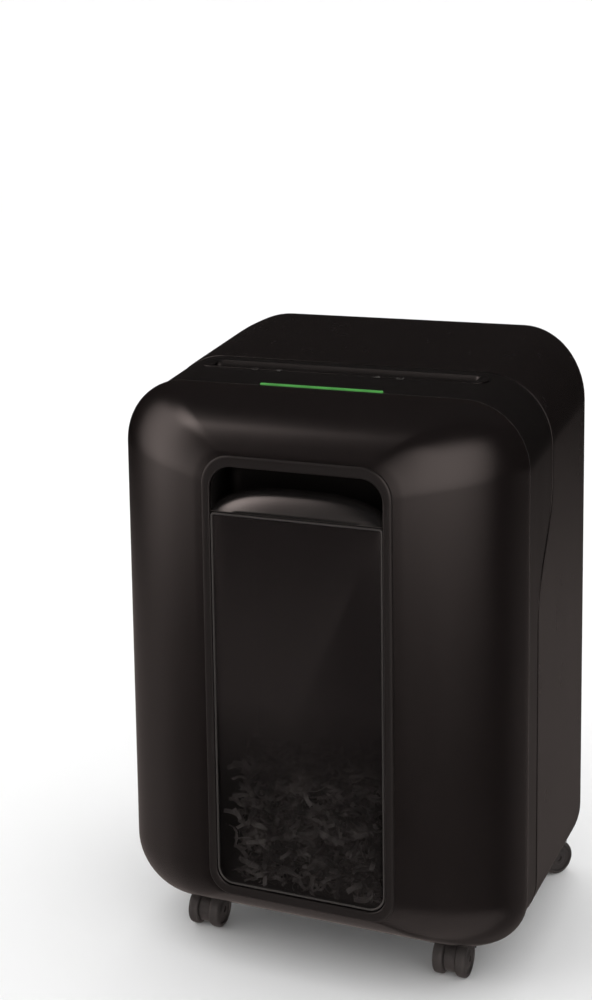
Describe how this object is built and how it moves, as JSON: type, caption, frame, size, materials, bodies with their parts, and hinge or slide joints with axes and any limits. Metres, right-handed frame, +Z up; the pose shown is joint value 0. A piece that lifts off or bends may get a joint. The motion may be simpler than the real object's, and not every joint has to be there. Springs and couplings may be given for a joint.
{
  "type": "paper shredder",
  "caption": "Floor-standing paper shredder on swivel casters, with a pull-out bin behind a pillow-shaped gloss cover, a smoked window, a recessed handle and a sloping console with a paper slot.",
  "frame": {"origin": "on the floor, at the middle of the outline's bounding box", "axes": "+Z up, +X to the right seen from the front, -Y towards the person using it"},
  "size_m": [0.34, 0.28, 0.4954],
  "materials": {
    "gloss_black": "high gloss moulded ABS",
    "cabinet_black": "satin gloss moulded ABS",
    "inner_black": "fine grained moulded plastic",
    "guide_grey": "smooth moulded plastic",
    "smoked_window": "smoked clear plastic",
    "trim_grey": "bright edging",
    "indicator_green": "light pipe",
    "icon_grey": "printed marks",
    "plated_steel": "zinc plated sheet",
    "hard_steel": "ground and oiled",
    "spacer_plastic": "natural nylon",
    "gear_metal": "sintered metal",
    "bronze": "sintered bronze",
    "motor_paint": "black enamel",
    "board_green": "solder mask",
    "caster_black": "moulded nylon",
    "wheel_black": "moulded nylon tread"
  },
  "bodies": {
    "cabinet": {"console_band": "cabinet_black", "rear_shell": "cabinet_black", "base_plate": "inner_black", "slot_funnel": "inner_black", "light_strip": "indicator_green", "touch_icons": "icon_grey", "front_guide": "guide_grey", "rear_guide": "guide_grey", "sheet_sensor": "board_green", "head_tray": "inner_black", "gear_side_plate": "plated_steel", "plain_side_plate": "plated_steel", "tie_rods": "plated_steel", "shaft_bushes": "bronze", "front_comb": "guide_grey", "rear_comb": "guide_grey", "idler_axle": "plated_steel", "motor_case": "motor_paint", "control_board": "board_green", "bin_switch": "inner_black", "cord_inlet": "inner_black", "vent_grille": "inner_black", "left_runner": "spacer_plastic", "right_runner": "spacer_plastic", "shell_screws": "plated_steel"},
    "bin": {"front_cover": "gloss_black", "window_duct": "inner_black", "bin_window": "smoked_window", "window_trim": "trim_grey", "handle_pocket": "inner_black", "handle_lip": "gloss_black", "bin_tub": "inner_black", "tub_front_wall": "inner_black", "tub_back_wall": "inner_black", "bin_screws": "plated_steel", "switch_tab": "inner_black"},
    "rear_cutter": {"rear_shaft": "hard_steel", "rear_cutters": "hard_steel", "rear_spacers": "spacer_plastic", "rear_sync_gear": "gear_metal", "drive_gear": "gear_metal"},
    "front_cutter": {"front_shaft": "hard_steel", "front_cutters": "hard_steel", "front_spacers": "spacer_plastic", "front_sync_gear": "gear_metal"},
    "idler": {"idler_gear": "spacer_plastic"},
    "motor_rotor": {"motor_shaft": "hard_steel", "motor_pinion": "gear_metal"},
    "caster_fl": {"caster_hood_fl": "caster_black"},
    "inner_wheel_fl": {"caster_inner_wheel_fl": "wheel_black"},
    "outer_wheel_fl": {"caster_outer_wheel_fl": "wheel_black"},
    "caster_fr": {"caster_hood_fr": "caster_black"},
    "inner_wheel_fr": {"caster_inner_wheel_fr": "wheel_black"},
    "outer_wheel_fr": {"caster_outer_wheel_fr": "wheel_black"},
    "caster_rl": {"caster_hood_rl": "caster_black"},
    "inner_wheel_rl": {"caster_inner_wheel_rl": "wheel_black"},
    "outer_wheel_rl": {"caster_outer_wheel_rl": "wheel_black"},
    "caster_rr": {"caster_hood_rr": "caster_black"},
    "inner_wheel_rr": {"caster_inner_wheel_rr": "wheel_black"},
    "outer_wheel_rr": {"caster_outer_wheel_rr": "wheel_black"}
  },
  "joints": [
    {"name": "bin_slide", "type": "slide", "parent": "cabinet", "child": "bin", "axis": [0, -1, 0], "range_m": [0, 0.2]},
    {"name": "rear_cutter_spin", "type": "hinge", "parent": "cabinet", "child": "rear_cutter", "pos_m": [0, -0.0205, 0.422], "axis": [1, 0, 0], "continuous": true},
    {"name": "front_cutter_spin", "type": "hinge", "parent": "cabinet", "child": "front_cutter", "pos_m": [0, -0.0545, 0.422], "axis": [1, 0, 0], "continuous": true},
    {"name": "idler_spin", "type": "hinge", "parent": "cabinet", "child": "idler", "pos_m": [-0.14, 0.026, 0.422], "axis": [1, 0, 0], "continuous": true},
    {"name": "motor_spin", "type": "hinge", "parent": "cabinet", "child": "motor_rotor", "pos_m": [-0.09, 0.058, 0.422], "axis": [1, 0, 0], "continuous": true},
    {"name": "swivel_fl", "type": "hinge", "parent": "cabinet", "child": "caster_fl", "pos_m": [-0.108, -0.068, 0.04], "axis": [0, 0, 1], "continuous": true},
    {"name": "inner_wheel_spin_fl", "type": "hinge", "parent": "caster_fl", "child": "inner_wheel_fl", "pos_m": [-0.108, -0.081, 0.015], "axis": [1, 0, 0], "continuous": true},
    {"name": "outer_wheel_spin_fl", "type": "hinge", "parent": "caster_fl", "child": "outer_wheel_fl", "pos_m": [-0.108, -0.081, 0.015], "axis": [1, 0, 0], "continuous": true},
    {"name": "swivel_fr", "type": "hinge", "parent": "cabinet", "child": "caster_fr", "pos_m": [0.108, -0.068, 0.04], "axis": [0, 0, 1], "continuous": true},
    {"name": "inner_wheel_spin_fr", "type": "hinge", "parent": "caster_fr", "child": "inner_wheel_fr", "pos_m": [0.108, -0.081, 0.015], "axis": [1, 0, 0], "continuous": true},
    {"name": "outer_wheel_spin_fr", "type": "hinge", "parent": "caster_fr", "child": "outer_wheel_fr", "pos_m": [0.108, -0.081, 0.015], "axis": [1, 0, 0], "continuous": true},
    {"name": "swivel_rl", "type": "hinge", "parent": "cabinet", "child": "caster_rl", "pos_m": [-0.127, 0.109, 0.04], "axis": [0, 0, 1], "continuous": true},
    {"name": "inner_wheel_spin_rl", "type": "hinge", "parent": "caster_rl", "child": "inner_wheel_rl", "pos_m": [-0.135, 0.11924, 0.015], "axis": [-0.788, -0.6157, 0], "continuous": true},
    {"name": "outer_wheel_spin_rl", "type": "hinge", "parent": "caster_rl", "child": "outer_wheel_rl", "pos_m": [-0.135, 0.11924, 0.015], "axis": [-0.788, -0.6157, 0], "continuous": true},
    {"name": "swivel_rr", "type": "hinge", "parent": "cabinet", "child": "caster_rr", "pos_m": [0.127, 0.109, 0.04], "axis": [0, 0, 1], "continuous": true},
    {"name": "inner_wheel_spin_rr", "type": "hinge", "parent": "caster_rr", "child": "inner_wheel_rr", "pos_m": [0.135, 0.11924, 0.015], "axis": [-0.788, 0.6157, 0], "continuous": true},
    {"name": "outer_wheel_spin_rr", "type": "hinge", "parent": "caster_rr", "child": "outer_wheel_rr", "pos_m": [0.135, 0.11924, 0.015], "axis": [-0.788, 0.6157, 0], "continuous": true}
  ],
  "couplings": [
    {"joint": "front_cutter_spin", "follows": "rear_cutter_spin", "ratio": -1},
    {"joint": "idler_spin", "follows": "rear_cutter_spin", "ratio": -3.4286},
    {"joint": "motor_spin", "follows": "rear_cutter_spin", "ratio": 12.245}
  ]
}
